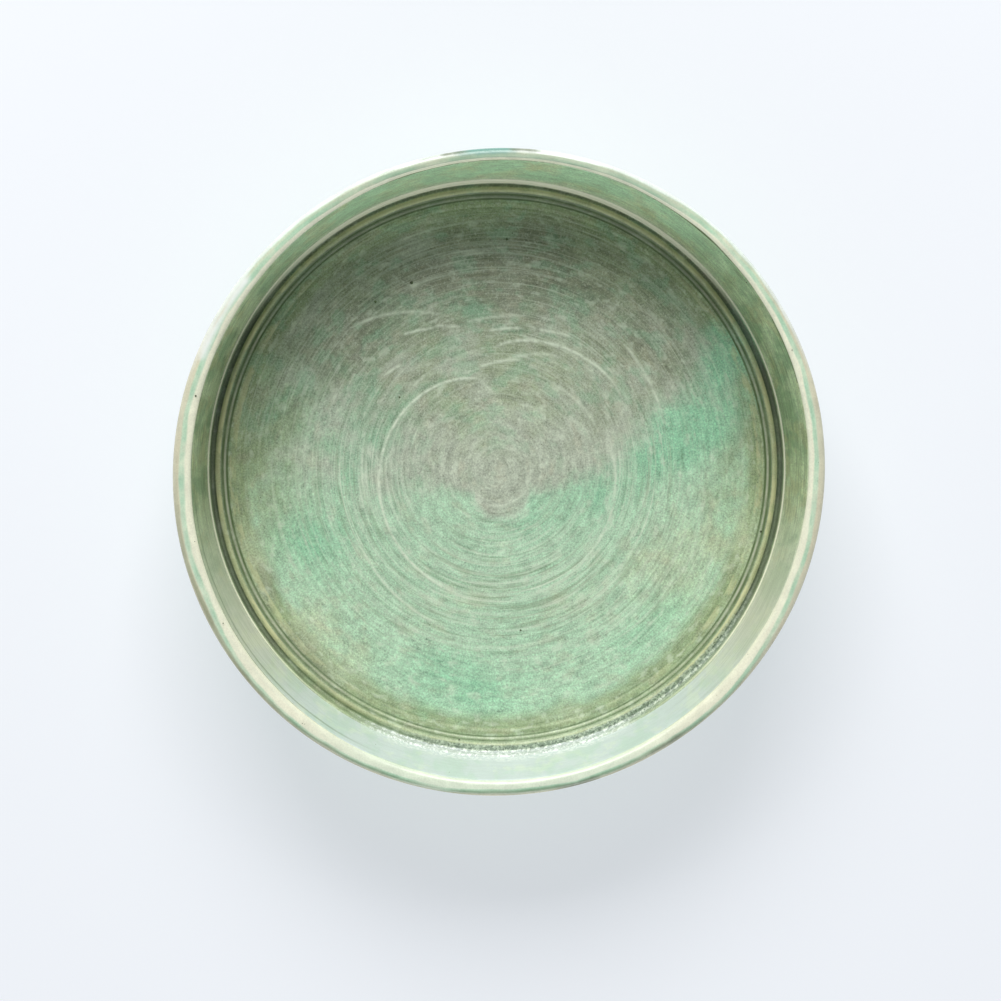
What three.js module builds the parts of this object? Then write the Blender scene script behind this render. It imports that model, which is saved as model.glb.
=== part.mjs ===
// A shallow, straight-walled rice bowl, thrown on the wheel in stoneware and glazed.
//
// The bowl is made up as a potter makes it:
//   clay_body      floor and wall, thrown from one ball of clay
//   foot_ring      a coil of the same clay, luted under the floor and turned true
//   inside_glaze   the coat poured over the floor and the inner wall
//   outside_glaze  the coat on the outer wall, down to the glaze line beside the foot
//   rim_glaze      the coat over the lip, where a second dip overlaps the other two
//
// Millimetres, +Z up. The origin is on the table, under the middle of the bowl.
// Every piece is a solid of revolution about +Z, so a section is a path in (radius, height).

import * as THREE from "three";

// Driving dimensions.
const RIM_DIAMETER = 160; // over the outside of the lip
const HEIGHT = 38; // from the table to the top of the lip
const DEPTH = 28; // from the top of the lip to the edge of the floor
const LIP_WIDTH = 3.8; // the wall at the lip, both coats included
const LIP_CROWN = 1.2; // how far the lip's top rises over its two edges
const INNER_LEAN = 3.3; // how far the inner wall leans out from its foot to the lip
const FLOOR_RADIUS = 66.6; // out to where the rings at the wall's foot begin
const FLOOR_SAG = 0.6; // the middle of the floor is this much lower than its edge
const FOOT_DIAMETER = 108; // over the outside of the foot ring
const FOOT_WIDTH = 5; // of the foot ring's section
const FOOT_HEIGHT = 5.2; // from the table to the clay floor's underside
const FOOT_FLARE = 0.6; // the ring widens this much on each side where it joins the floor
const FOOT_SOFTENING = 0.9; // radius of the ring's two lower edges
const FOOT_MARGIN = 4; // bare clay between the foot ring and the glaze line
const OUTER_LEAN = 2.2; // how far the outer wall leans out from the heel to the lip
const OUTER_BULGE = 1.4; // how far in the outer wall's middle is drawn from the lip
const HEEL_RISE = 4; // the wall turns in to the heel this far above the floor's edge
const HEEL_ROUND = 8; // size of the rounded heel
const GLAZE_LINE_RISE = 0.4; // the glaze line stands this far above the clay underside
const GLAZE = 0.7; // thickness of a coat on a smooth face

// The rings at the foot of the wall.
const GROOVE_PITCH = 1.1; // between the two fine grooves at the floor's edge
const GROOVE_WIDTH = 0.8;
const GROOVE_DEPTH = 0.3;
const GROOVE_COUNT = 2;
const BEAD_WIDTH = 2.1; // the low round bead outside them
const BEAD_HEIGHT = 0.7;
const CHANNEL_WIDTH = 1.7; // the deeper channel between the bead and the wall
const CHANNEL_DEPTH = 0.4;
const KICK_HEIGHT = 3.2; // the wall's foot edge stands this far above the floor's edge

// Fineness of the faceted solids.
const TURNS = 48; // facets round the axis
const CURVE_STEPS = 5; // points on each curved stretch of a section

// Heights and radii that follow from the dimensions above.
const rimRadius = RIM_DIAMETER / 2;
const lipInner = rimRadius - LIP_WIDTH;
const lipMiddle = rimRadius - LIP_WIDTH / 2;
const lipShoulder = HEIGHT - LIP_CROWN;
const floorEdge = HEIGHT - DEPTH;
const wallFoot = lipInner - INNER_LEAN;
const heelTop = floorEdge + HEEL_RISE;
const heelRadius = rimRadius - OUTER_LEAN;
const glazeLine = FOOT_DIAMETER / 2 + FOOT_MARGIN;
const glazeLineHeight = FOOT_HEIGHT + GLAZE_LINE_RISE;

// A section path's points, with each curve cut into CURVE_STEPS.
function pointsOf(path) {
  return path.getPoints(CURVE_STEPS);
}

// A closed solid of revolution about +Z. The section is given with the solid on its right hand.
function turned(section) {
  const geometry = new THREE.LatheGeometry(section.slice().reverse(), TURNS);
  geometry.rotateX(Math.PI / 2);
  return geometry;
}

// The glazed face inside the bowl, from the middle of the floor out and up to the lip.
function insideFace() {
  const face = new THREE.Path();
  face.moveTo(0, floorEdge - FLOOR_SAG);
  face.quadraticCurveTo(FLOOR_RADIUS / 2, floorEdge - FLOOR_SAG, FLOOR_RADIUS, floorEdge);
  let radius = FLOOR_RADIUS;
  for (let n = 0; n < GROOVE_COUNT; n++) {
    face.lineTo(radius + GROOVE_WIDTH / 2, floorEdge - GROOVE_DEPTH);
    face.lineTo(radius + GROOVE_WIDTH, floorEdge);
    face.lineTo(radius + GROOVE_PITCH, floorEdge);
    radius += GROOVE_PITCH;
  }
  face.quadraticCurveTo(
    radius + BEAD_WIDTH / 2,
    floorEdge + 2 * BEAD_HEIGHT,
    radius + BEAD_WIDTH,
    floorEdge,
  );
  radius += BEAD_WIDTH;
  face.lineTo(radius + CHANNEL_WIDTH / 4, floorEdge - CHANNEL_DEPTH);
  face.lineTo(radius + (3 * CHANNEL_WIDTH) / 4, floorEdge - CHANNEL_DEPTH);
  face.lineTo(radius + CHANNEL_WIDTH, floorEdge + KICK_HEIGHT / 3);
  face.lineTo(wallFoot, floorEdge + KICK_HEIGHT);
  face.quadraticCurveTo(
    wallFoot + INNER_LEAN / 3,
    (floorEdge + lipShoulder) / 2,
    lipInner,
    lipShoulder,
  );
  return pointsOf(face);
}

// The clay under that coat. It has no grooves, so the coat lies thin in them and thick on the bead.
function clayInside() {
  const face = new THREE.Path();
  face.moveTo(0, floorEdge - FLOOR_SAG - GLAZE);
  face.quadraticCurveTo(
    FLOOR_RADIUS / 2,
    floorEdge - FLOOR_SAG - GLAZE,
    FLOOR_RADIUS,
    floorEdge - GLAZE,
  );
  face.lineTo(wallFoot - GLAZE, floorEdge - CHANNEL_DEPTH - GLAZE);
  face.quadraticCurveTo(
    wallFoot + GLAZE,
    floorEdge - CHANNEL_DEPTH - GLAZE,
    wallFoot + GLAZE,
    floorEdge + KICK_HEIGHT,
  );
  face.quadraticCurveTo(
    wallFoot + GLAZE + INNER_LEAN / 3,
    (floorEdge + lipShoulder) / 2,
    lipInner + GLAZE,
    lipShoulder,
  );
  return pointsOf(face);
}

// The lip's rounded top, from its inner edge to its outer edge, inset by skin.
// The coat runs thin over the crown, to half of what it is at the edges.
function lipTop(skin) {
  const top = new THREE.Path();
  const reach = LIP_WIDTH / 2 - skin;
  top.absellipse(lipMiddle, lipShoulder, reach, LIP_CROWN - skin / 2, Math.PI, 0, true);
  return pointsOf(top);
}

// The outer wall, from the lip's outer edge down round the heel to the glaze line, inset by skin.
function outsideFace(skin) {
  const face = new THREE.Path();
  face.moveTo(rimRadius - skin, lipShoulder);
  face.quadraticCurveTo(
    rimRadius - OUTER_BULGE - skin,
    (lipShoulder + heelTop) / 2,
    heelRadius - skin,
    heelTop,
  );
  face.bezierCurveTo(
    heelRadius - skin,
    heelTop - (3 * HEEL_ROUND) / 4,
    heelRadius - HEEL_ROUND,
    glazeLineHeight + HEEL_ROUND / 10 + skin,
    glazeLine,
    glazeLineHeight + skin,
  );
  return pointsOf(face);
}

// A coat lies between its glazed face and the clay behind it. Both run the same way along the bowl.
function coatBetween(glazedFace, clayFace) {
  const section = [...glazedFace, ...clayFace.slice().reverse()];
  const onAxis = glazedFace[0].x === 0;
  return onAxis ? section : [...section, glazedFace[0]];
}

function clayBodySection() {
  const inside = clayInside();
  const lip = lipTop(GLAZE);
  const outside = outsideFace(GLAZE);
  return [
    ...inside,
    ...lip.slice(1),
    ...outside.slice(1),
    new THREE.Vector2(FOOT_DIAMETER / 2 + FOOT_MARGIN / 2, FOOT_HEIGHT),
    new THREE.Vector2(0, FOOT_HEIGHT),
  ];
}

// The foot ring: a flat tread on the table, with both of its lower edges softened.
function footRingSection() {
  const outer = FOOT_DIAMETER / 2;
  const inner = outer - FOOT_WIDTH;
  const foot = new THREE.Path();
  foot.moveTo(inner - FOOT_FLARE, FOOT_HEIGHT);
  foot.lineTo(outer + FOOT_FLARE, FOOT_HEIGHT);
  foot.lineTo(outer, FOOT_SOFTENING);
  foot.quadraticCurveTo(outer, 0, outer - FOOT_SOFTENING, 0);
  foot.lineTo(inner + FOOT_SOFTENING, 0);
  foot.quadraticCurveTo(inner, 0, inner, FOOT_SOFTENING);
  foot.closePath();
  return pointsOf(foot);
}

function clay() {
  return new THREE.MeshStandardMaterial({ color: 0xb59a7b, roughness: 0.85, metalness: 0 });
}

function glaze(color, roughness) {
  return new THREE.MeshStandardMaterial({ color, roughness, metalness: 0 });
}

const bowl = new THREE.Group();

function add(name, section, material) {
  const piece = new THREE.Mesh(turned(section), material);
  piece.name = name;
  bowl.add(piece);
}

add("clay_body", clayBodySection(), clay());
add("foot_ring", footRingSection(), clay());
add("inside_glaze", coatBetween(insideFace(), clayInside()), glaze(0x9fb996, 0.35));
add("rim_glaze", coatBetween(lipTop(0), lipTop(GLAZE)), glaze(0xe2e2c6, 0.25));
add("outside_glaze", coatBetween(outsideFace(0), outsideFace(GLAZE)), glaze(0xa6c6a6, 0.35));

export default bowl;
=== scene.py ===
"""A shallow, straight-walled rice bowl in celadon-glazed stoneware, thrown on the wheel.

Every member is a section turned about +Z, as it was on the wheel. One geometry node tree does the
turning: it revolves a section, lays the spiral ripple of the potter's fingers over it, lets the lip
go slightly oval, and stores how thin the glaze lies on each crest. The finishes read that.

Sections are in (radius, height), in millimetres from the middle of the foot. Meshes are in metres.
"""

import math

import bmesh
import bpy
import numpy as np
from mathutils import Matrix, Vector


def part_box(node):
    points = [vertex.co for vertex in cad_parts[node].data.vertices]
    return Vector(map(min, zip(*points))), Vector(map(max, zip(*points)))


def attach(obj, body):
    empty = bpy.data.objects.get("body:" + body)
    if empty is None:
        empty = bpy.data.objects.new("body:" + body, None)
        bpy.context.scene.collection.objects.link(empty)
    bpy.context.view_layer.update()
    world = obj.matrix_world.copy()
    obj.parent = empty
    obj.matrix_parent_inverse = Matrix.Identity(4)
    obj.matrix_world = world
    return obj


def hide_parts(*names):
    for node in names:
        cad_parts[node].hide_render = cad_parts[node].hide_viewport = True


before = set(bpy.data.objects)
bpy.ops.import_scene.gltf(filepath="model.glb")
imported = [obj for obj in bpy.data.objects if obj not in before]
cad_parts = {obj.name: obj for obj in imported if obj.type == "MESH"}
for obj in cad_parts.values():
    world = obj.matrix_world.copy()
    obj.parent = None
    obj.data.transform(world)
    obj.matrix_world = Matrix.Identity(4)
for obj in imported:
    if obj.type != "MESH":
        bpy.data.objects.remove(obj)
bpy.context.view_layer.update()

MM = 0.001
TAU = 2 * math.pi


# --- Sizes, read from the frame ----------------------------------------------------------------

def reach(node):
    """A node's largest radius, lowest height and highest height, in millimetres."""
    low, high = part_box(node)
    return high.x / MM, low.z / MM, high.z / MM


rim_radius, lip_shoulder, lip_top = reach("rim_glaze")
_, coat_low, _ = reach("inside_glaze")
foot_radius, _, foot_top = reach("foot_ring")
GLAZE = 0.7  # thickness of a coat on a smooth face
LIP_WIDTH = 3.8
FOOT_WIDTH = 5.0
FOOT_FLARE = 0.6
FOOT_EDGE = 0.9  # how far in each lower edge is rounded
FOOT_MARGIN = 4.0  # bare clay between the foot ring and the glaze line
LIP_CROWN = lip_top - lip_shoulder
lip_inner = rim_radius - LIP_WIDTH
lip_middle = rim_radius - LIP_WIDTH / 2
foot_outer = foot_radius - FOOT_FLARE
foot_inner = foot_outer - FOOT_WIDTH
glaze_line = foot_outer + FOOT_MARGIN

FLOOR_MIDDLE = coat_low + GLAZE  # height of the glazed floor at its middle
FLOOR_SAG = 0.6  # the floor's edge stands this much higher than its middle
FLOOR_RADIUS = 66.0
CHANNEL_OUTER = 72.5  # radius of the outer side of the channel at the wall's foot
COVE_RISE = 0.9  # the floor turns up this much between its edge and the wall
WALL_FOOT = (72.95, 12.7)  # where the steep kick at the wall's foot ends
WALL_STEP = (73.5, 13.4)  # a narrow step there, which the light catches

# The rings round the floor's edge: radius, half width and height of each.
RINGS = (
    (66.6, 0.35, -0.06),
    (67.5, 0.50, 0.08),
    (68.8, 0.24, -0.16),
    (69.35, 0.22, 0.06),
    (69.95, 0.22, -0.15),
    (70.95, 0.60, 0.34),
    (72.25, 0.50, -0.38),
)

# The throwing marks: raised lines that a fingertip left on the floor, thin-glazed and pale.
# Start and end angle in degrees from +X towards +Y, start and end radius, how soon the line swings
# out, and its strength.
FINGER_LINES = (
    (97, 269, 22.1, 34.4, 0.62, 1.0),
    (100, 93, 22.2, 19.6, 1.0, 0.7),
    (102, 80, 38.2, 39.3, 1.0, 0.65),
    (94, 79, 35.2, 36.5, 1.0, 0.9),
    (100, 76, 26.3, 28.6, 1.0, 0.8),
    (125, 113, 41.8, 39.1, 1.0, 0.85),
    (113, 104, 39.6, 37.2, 1.0, 0.7),
    (93, 32, 29.1, 37.4, 0.45, 1.0),
    (56, 22, 25.8, 27.6, 0.8, 0.45),
    (89, 58, 27.0, 33.4, 0.9, 0.5),
    (69, 60, 22.2, 21.6, 1.0, 0.4),
    (14, -82, 29.2, 34.0, 0.8, 0.6),
    (170, 200, 34.5, 34.2, 1.0, 0.55),
    (140, 132, 37.2, 36.0, 1.0, 0.8),
    (210, 252, 40.0, 42.8, 1.0, 0.7),
    (136, 108, 51.6, 41.0, 1.2, 0.75),
    (73, 60, 37.0, 38.8, 1.0, 0.8),
    (45, 16, 45.4, 44.4, 1.0, 0.6),
    (200, 330, 37.6, 37.0, 1.0, 0.35),
    (215, 300, 46.5, 45.8, 1.0, 0.35),
    (175, 215, 57.5, 57.0, 1.0, 0.3),
    (300, 350, 50.4, 51.2, 1.0, 0.3),
    (250, 330, 9.8, 9.2, 1.0, 0.5),
    (40, 200, 6.0, 5.6, 1.0, 0.35),
)
FINGER_LINE_WIDTH = 0.38
FINGER_LINE_HEIGHT = 0.10
FADE_IN = 0.08  # the share of a line over which it starts
FADE_OUT = 0.18  # and over which it dies away

# How the lip went out of round when the bowl was lifted off the wheel.
OUT_OF_ROUND = 0.65
OUT_OF_ROUND_ANGLE = 32.0
RIM_DIP = 0.25
LIP_WANDER = 0.5
LIP_SEED = 4.0
# How the lip's inner edge lies against its outer edge: shifted, and oval across the bowl.
INNER_SHIFT = (0.17, 0.45)
INNER_OVAL = 0.46


# --- Node trees ----------------------------------------------------------------------------------

def srgb(red, green, blue):
    """A colour given as it looks, out of 255, as the linear values that a shader takes."""
    def linear(value):
        value = value / 255
        return value / 12.92 if value <= 0.04045 else ((value + 0.055) / 1.055) ** 2.4

    return (linear(red), linear(green), linear(blue), 1.0)


class Value:
    """What one node puts out. Arithmetic on a number adds the nodes that work it out."""

    def __init__(self, w, socket):
        self.w = w
        self.socket = socket

    def __add__(self, other):
        return self.w.math("ADD", self, other)

    def __sub__(self, other):
        return self.w.math("SUBTRACT", self, other)

    def __rsub__(self, other):
        return self.w.math("SUBTRACT", other, self)

    def __mul__(self, other):
        return self.w.math("MULTIPLY", self, other)

    def __truediv__(self, other):
        return self.w.math("DIVIDE", self, other)

    def __rtruediv__(self, other):
        return self.w.math("DIVIDE", other, self)

    __radd__ = __add__
    __rmul__ = __mul__


class Wiring:
    """Adds nodes to a tree, giving each of their inputs a number or another node's value."""

    def __init__(self, tree):
        self.tree = tree

    def give(self, node, feeds):
        for key, value in feeds.items():
            socket = getattr(value, "socket", value)
            if isinstance(socket, bpy.types.NodeSocket):
                self.tree.links.new(socket, node.inputs[key])
            else:
                node.inputs[key].default_value = value

    def add(self, kind, feeds=None, **settings):
        node = self.tree.nodes.new(kind)
        for name, value in settings.items():
            setattr(node, name, value)
        self.give(node, feeds or {})
        return node

    def out(self, kind, feeds=None, output=0, **settings):
        """A new node's value, from its output of that name or number."""
        return Value(self, self.add(kind, feeds, **settings).outputs[output])

    def given(self):
        """The tree's own inputs, by name."""
        return {s.name: Value(self, s) for s in self.add("NodeGroupInput").outputs if s.name}

    def math(self, operation, first, second=0.0):
        return self.out("ShaderNodeMath", {0: first, 1: second}, operation=operation)

    def plus(self, first, second):
        return self.out("ShaderNodeVectorMath", {0: first, 1: second}, operation="ADD")

    def scaled(self, vector, factor):
        return self.out("ShaderNodeVectorMath", {0: vector, "Scale": factor}, operation="SCALE")

    def join(self, x=0.0, y=0.0, z=0.0):
        return self.out("ShaderNodeCombineXYZ", {0: x, 1: y, 2: z})

    def split(self, vector):
        parts = self.add("ShaderNodeSeparateXYZ", {0: vector}).outputs
        return [Value(self, part) for part in parts]

    def named(self, name):
        """An attribute of the mesh, in a geometry node tree."""
        return self.out("GeometryNodeInputNamedAttribute", {"Name": name}, data_type="FLOAT")

    def noise(self, vector, scale, detail=2.0, roughness=0.5, seed=0.0):
        feeds = {"Vector": vector, "W": seed, "Scale": scale, "Detail": detail, "Roughness": roughness}
        return self.out("ShaderNodeTexNoise", feeds, noise_dimensions="4D")

    def ramp(self, value, low, high, out_low=0.0, out_high=1.0):
        """value, taken smoothly from the span low to high onto out_low to out_high, and held there."""
        feeds = {0: value, 1: low, 2: high, 3: out_low, 4: out_high}
        return self.out("ShaderNodeMapRange", feeds, interpolation_type="SMOOTHSTEP")

    def over(self, base, tint, amount, *masks):
        """tint laid over base, by amount times every mask."""
        feeds = {0: share_of(amount, *masks), 6: base, 7: tint}
        return self.out("ShaderNodeMix", feeds, output=2, data_type="RGBA")


def share_of(amount, *masks):
    """The product of masks, times amount."""
    for mask in masks:
        amount = mask * amount
    return amount


def floats(*names):
    return [(name, "Float") for name in names]


def new_sockets(tree, inputs, outputs):
    """Declares a tree's inputs and outputs. Each is (name, kind) or (name, kind, value)."""
    for side, rows in (("INPUT", inputs), ("OUTPUT", outputs)):
        for name, kind, *value in rows:
            socket = tree.interface.new_socket(name, in_out=side, socket_type="NodeSocket" + kind)
            if value:
                socket.default_value = value[0]


# --- The wheel: one geometry node tree that turns every section ------------------------------------

def make_wheel():
    """Turns a section about +Z. The section is a chain of vertices in the XZ plane, with two values
    at each: relief, the share of the ripple it takes, and run, the distance along the section."""
    tree = bpy.data.node_groups.new("wheel", "GeometryNodeTree")
    inputs = [
        ("Section", "Geometry"),
        ("Turns", "Int", 240),
        ("Ripple Pitch", "Float", 0.0015),
        ("Ripple Arcs", "Float", 3.0),
        ("Swell Size", "Float", 0.02),
        ("Inner Shift", "Vector"),
        *floats("Ripple Height", "Swell Height", "Edge Wander", "Edge Height", "Out Of Round",
                "Out Of Round Angle", "Rim Dip", "Lip Wander", "Inner Oval", "Lip Middle", "Lip Inner",
                "Warp From", "Warp To", "Seed"),
        ("Finish", "Material"),
    ]
    new_sockets(tree, inputs, [("Turned", "Geometry")])
    w = Wiring(tree)
    given = w.given()
    seed = given["Seed"]

    # A grid with one row for each point of the section and one column for each facet's edge.
    rows = w.out("GeometryNodeAttributeDomainSize", {0: given["Section"]}, "Point Count")
    feeds = {"Vertices X": given["Turns"] + 1.0, "Vertices Y": rows}
    grid = w.out("GeometryNodeMeshGrid", feeds, "Mesh")
    index = w.out("GeometryNodeInputIndex")
    row = w.math("MODULO", index, rows)
    angle = w.math("FLOOR", (index + 0.5) / rows) / given["Turns"] * TAU

    def of_section(value, kind="FLOAT"):
        feeds = {"Geometry": given["Section"], "Value": value, "Index": row}
        return w.out("GeometryNodeSampleIndex", feeds, data_type=kind)

    position = w.out("GeometryNodeInputPosition")
    radius, _, height = w.split(of_section(position, "FLOAT_VECTOR"))
    placed = w.join(radius * w.math("COSINE", angle), radius * w.math("SINE", angle), height)
    mesh = w.out("GeometryNodeSetPosition", {"Geometry": grid, "Position": placed})
    for name in ("relief", "run"):
        feeds = {"Geometry": mesh, "Name": name, "Value": of_section(w.named(name))}
        mesh = w.out("GeometryNodeStoreNamedAttribute", feeds, data_type="FLOAT")
    mesh = w.out("GeometryNodeMergeByDistance", {"Geometry": mesh, "Distance": 1e-6})

    # Each vertex's place round the wheel. It is worked out again for the mesh at each step.
    x, y, z = w.split(position)
    around = w.math("ARCTAN2", y, x)
    cosine = w.math("COSINE", around)
    outward = w.join(cosine, w.math("SINE", around))

    # The ripple: rings that break into arcs, over a faint spiral that moves out one pitch in a turn.
    relief = w.named("relief")
    pitches = w.named("run") / given["Ripple Pitch"]
    lap = w.scaled(outward, given["Ripple Arcs"])
    rings = w.noise(w.plus(lap, w.join(0.0, 0.0, pitches)), 1.0, seed=seed)
    patchy = w.ramp(w.noise(position, 38.0, seed=seed + 7.0), 0.35, 0.65)
    spiral = w.math("SINE", pitches * TAU - around) * patchy * 0.35
    ripple = ((rings - 0.5) * 3.0 + spiral) * relief
    swell = (w.noise(position, 1.0 / given["Swell Size"], seed=seed + 3.0) - 0.5) * relief
    lift = ripple * given["Ripple Height"] + swell * given["Swell Height"]
    lift = w.scaled(w.out("GeometryNodeInputNormal"), lift)
    feeds = {"Geometry": mesh, "Name": "thin", "Value": w.math("MAXIMUM", ripple, 0.0)}
    mesh = w.out("GeometryNodeStoreNamedAttribute", feeds, data_type="FLOAT")
    mesh = w.out("GeometryNodeSetPosition", {"Geometry": mesh, "Offset": lift})

    # The lip's oval and wander, which grow from the wall's foot up, and the glaze line's own wander.
    rise = w.ramp(z, given["Warp From"], given["Warp To"])
    oval = w.math("COSINE", (around - given["Out Of Round Angle"]) * 2.0)
    wander = w.noise(outward, 1.1, seed=LIP_SEED) - 0.5
    inner = w.ramp(w.math("SQRT", x * x + y * y), given["Lip Middle"], given["Lip Inner"])
    shift = {0: outward, 1: given["Inner Shift"]}
    shift = w.out("ShaderNodeVectorMath", shift, "Value", operation="DOT_PRODUCT")
    across = 1.0 - cosine * cosine * 2.0
    push = oval * given["Out Of Round"] + wander * given["Lip Wander"]
    push = (push + inner * (shift + across * given["Inner Oval"])) * rise
    near_edge = w.ramp(z - given["Edge Height"], 2.5 * MM, 0.0)
    edge = w.noise(outward, 4.0, detail=3.0, seed=seed + 11.0) - 0.5
    push = push + edge * given["Edge Wander"] * near_edge
    dip = oval * rise * given["Rim Dip"] * -1.0
    offset = w.plus(w.scaled(outward, push), w.join(0.0, 0.0, dip))
    mesh = w.out("GeometryNodeSetPosition", {"Geometry": mesh, "Offset": offset})
    mesh = w.out("GeometryNodeSetShadeSmooth", {"Geometry": mesh})
    close_tree(w, mesh, given["Finish"])
    return tree


def close_tree(w, mesh, finish):
    """Ends a geometry node tree: the mesh made real, in its finish."""
    mesh = w.out("GeometryNodeRealizeInstances", {"Geometry": mesh})
    mesh = w.out("GeometryNodeSetMaterial", {"Geometry": mesh, "Material": finish})
    w.add("NodeGroupOutput", {0: mesh})


def make_pepper():
    """Iron specks: lenses half sunk in the glaze, at the chosen spots and scattered thinly elsewhere.
    The mesh is the glazed face, with a loose vertex for each chosen spot, whose size is in spot."""
    tree = bpy.data.node_groups.new("pepper", "GeometryNodeTree")
    inputs = [
        ("Coat", "Geometry"),
        *floats("Density", "Radius"),
        ("Seed", "Int"),
        ("Finish", "Material"),
    ]
    new_sockets(tree, inputs, [("Specks", "Geometry")])
    w = Wiring(tree)
    given = w.given()
    spot = w.named("spot")
    ball = w.out("GeometryNodeMeshIcoSphere", {"Radius": 1.0, "Subdivisions": 2}, "Mesh")
    lens = w.out("GeometryNodeTransform", {"Geometry": ball, "Scale": (1.0, 1.0, 0.4)})
    round_size = w.join(1.0, 1.0, 1.0)

    glazed = w.out("FunctionNodeCompare", {0: w.named("relief"), 1: 0.25}, operation="GREATER_THAN")
    feeds = {"Mesh": given["Coat"], "Selection": glazed, "Density": given["Density"], "Seed": given["Seed"]}
    strewn = w.add("GeometryNodeDistributePointsOnFaces", feeds).outputs
    size = w.out("FunctionNodeRandomValue", {2: 0.5, 3: 1.4, "Seed": given["Seed"]}, 1, data_type="FLOAT")
    feeds = {"Points": strewn["Points"], "Instance": lens, "Rotation": strewn["Rotation"],
             "Scale": w.scaled(round_size, size * given["Radius"])}
    strewn = w.out("GeometryNodeInstanceOnPoints", feeds)

    chosen = w.out("FunctionNodeCompare", {0: spot, 1: 0.0}, operation="GREATER_THAN")
    points = w.out("GeometryNodeMeshToPoints", {"Mesh": given["Coat"], "Selection": chosen})
    feeds = {"Points": points, "Instance": lens, "Scale": w.scaled(round_size, spot)}
    chosen = w.out("GeometryNodeInstanceOnPoints", feeds)

    join = w.add("GeometryNodeJoinGeometry")
    for specks in (strewn, chosen):
        w.give(join, {0: specks})
    close_tree(w, join.outputs[0], given["Finish"])
    return tree


class Section:
    """A closed path in (radius, height), in millimetres, with the share of relief at each point."""

    def __init__(self, radius, height, relief=0.0):
        self.points = [(radius, height)]
        self.relief = [relief]

    def through(self, points, relief=0.0):
        self.points += [(float(r), float(z)) for r, z in points]
        self.relief += [relief] * len(points)
        return self

    def line(self, radius, height, count=1, relief=0.0):
        return self.bend((radius, height), count=count, relief=relief)

    def bend(self, *controls, count=8, relief=0.0):
        """A Bezier curve from the last point through to the last control."""
        nodes = np.array([self.points[-1], *controls], float)
        degree = len(nodes) - 1
        shares = np.linspace(0, 1, count + 1)[1:, None]
        path = sum(math.comb(degree, i) * shares ** i * (1 - shares) ** (degree - i) * nodes[i]
                   for i in range(degree + 1))
        return self.through(path, relief)

    def as_object(self, name):
        points = np.array(self.points) * MM
        mesh = bpy.data.meshes.new(name)
        chain = [(i, i + 1) for i in range(len(points) - 1)]
        mesh.from_pydata([(r, 0.0, z) for r, z in points], chain, [])
        run = np.concatenate([[0.0], np.cumsum(np.hypot(*np.diff(points, axis=0).T))])
        store(mesh, "relief", self.relief)
        store(mesh, "run", run)
        return in_scene(name, mesh)


def in_scene(name, data):
    """A new object in the scene."""
    made = bpy.data.objects.new(name, data)
    bpy.context.scene.collection.objects.link(made)
    return made


def store(mesh, name, values):
    """Stores a number for each vertex, as an attribute."""
    layer = mesh.attributes.get(name) or mesh.attributes.new(name, "FLOAT", "POINT")
    layer.data.foreach_set("value", values)


def modified(made, tree, settings):
    """made, with a geometry node tree applied: a plain mesh object at the origin."""
    modifier = made.modifiers.new("tree", "NODES")
    modifier.node_group = tree
    sockets = {s.name: s.identifier for s in tree.interface.items_tree if s.in_out == "INPUT"}
    for name, value in settings.items():
        modifier[sockets[name.replace("_", " ")]] = value
    graph = bpy.context.evaluated_depsgraph_get()
    mesh = bpy.data.meshes.new_from_object(made.evaluated_get(graph))
    made.modifiers.remove(modifier)
    made.data = mesh
    mesh.name = made.name
    return made


def face_outwards(mesh):
    """Turns every face of a closed mesh outwards."""
    work = bmesh.new()
    work.from_mesh(mesh)
    bmesh.ops.recalc_face_normals(work, faces=work.faces)
    work.to_mesh(mesh)
    work.free()


wheel = make_wheel()
pepper = make_pepper()


def throw(name, section, finish, **settings):
    """A member turned on the wheel, out of round at the lip as the whole bowl is."""
    shared = {
        "Out Of Round": OUT_OF_ROUND * MM,
        "Out Of Round Angle": math.radians(OUT_OF_ROUND_ANGLE),
        "Rim Dip": RIM_DIP * MM,
        "Lip Wander": LIP_WANDER * MM,
        "Inner Shift": [shift * MM for shift in (*INNER_SHIFT, 0.0)],
        "Inner Oval": INNER_OVAL * MM,
        "Lip Middle": lip_middle * MM,
        "Lip Inner": lip_inner * MM,
        "Warp From": WALL_FOOT[1] * MM,
        "Warp To": lip_top * MM,
        "Finish": finish,
    }
    made = modified(section.as_object(name), wheel, {**shared, **settings})
    face_outwards(made.data)
    return made


def speckle(name, coat, spots, **settings):
    """Iron specks on a coat. Each chosen spot is (x, y, z, radius), in millimetres."""
    mesh = coat.data.copy()
    count = len(mesh.vertices)
    mesh.vertices.add(len(spots))
    sizes = np.zeros(count + len(spots))
    for i, (x, y, z, radius) in enumerate(spots):
        mesh.vertices[count + i].co = Vector((x, y, z)) * MM
        sizes[count + i] = radius * MM
    store(mesh, "spot", sizes)
    return modified(in_scene(name, mesh), pepper, {"Finish": iron, **settings})


# --- Finishes: effects that several glazes and the clay share -----------------------------------

def polar(w, vector, around, across):
    """Coordinates for a pattern that follows the wheel, with around repeats in each metre along the
    turning lines and across repeats in each metre across them."""
    x, y, z = w.split(vector)
    radius = w.math("SQRT", x * x + y * y)
    return w.join(x * around, y * around, (radius + z) * across)


def shader_group(name, inputs, outputs, wire):
    """A shader node group that also takes Vector. wire(w, given) returns what each output puts out."""
    tree = bpy.data.node_groups.new(name, "ShaderNodeTree")
    new_sockets(tree, [("Vector", "Vector"), *floats(*inputs)], floats(*outputs))
    w = Wiring(tree)
    w.add("NodeGroupOutput", dict(enumerate(wire(w, w.given()))))
    return tree


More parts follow.
